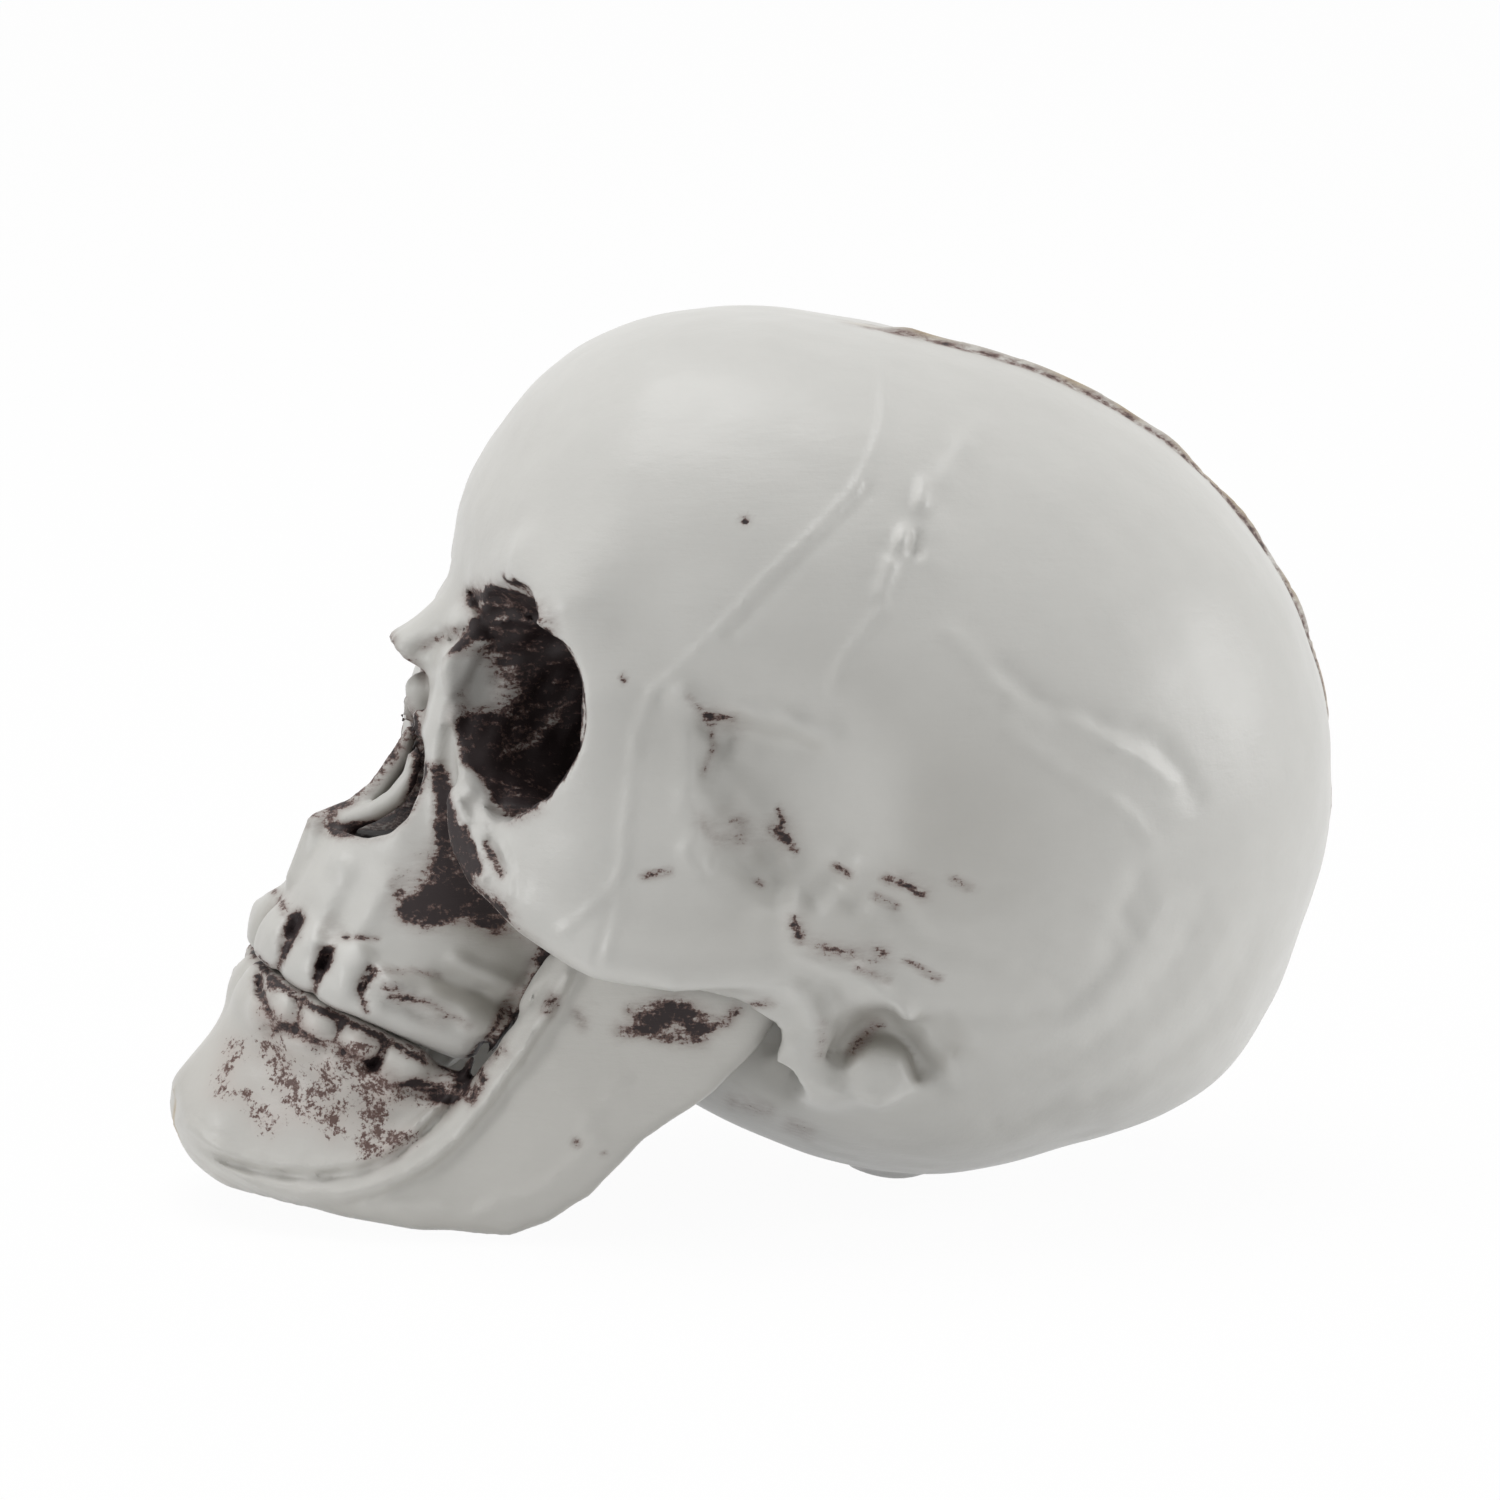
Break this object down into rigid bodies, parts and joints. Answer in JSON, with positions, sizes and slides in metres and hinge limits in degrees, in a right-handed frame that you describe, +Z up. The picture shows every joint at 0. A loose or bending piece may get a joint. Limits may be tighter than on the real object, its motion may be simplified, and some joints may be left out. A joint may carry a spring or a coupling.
{
  "type": "skull decoration",
  "caption": "Small moulded plastic skull for seasonal display, with a hollow cranium in two shells, deep eye sockets and a lower jaw that swings open on two pins.",
  "frame": {"origin": "middle of the footprint, on the surface that the skull stands on", "axes": "+Z up, face towards -Y, the skull's own left towards +X; the skull is in its resting pose, tipped back on the corners of the jaw and the nub at the back of its base"},
  "size_m": [0.0492, 0.0786, 0.0596],
  "materials": {
    "bone_plastic": "satin, with dark brown stain rubbed into the hollows",
    "jaw_plastic": "satin, with dark brown stain rubbed into the hollows",
    "pin_steel": "bright"
  },
  "bodies": {
    "cranium": {"cranium_left_shell": "bone_plastic", "cranium_right_shell": "bone_plastic", "jaw_pivot_pin_left": "pin_steel", "jaw_pivot_pin_right": "pin_steel"},
    "jaw": {"jaw_left_half": "jaw_plastic", "jaw_right_half": "jaw_plastic"}
  },
  "joints": [
    {"name": "jaw_hinge", "type": "hinge", "parent": "cranium", "child": "jaw", "pos_m": [0, -0.0005, 0.02055], "axis": [1, 0, 0], "range_deg": [0, 25]}
  ]
}
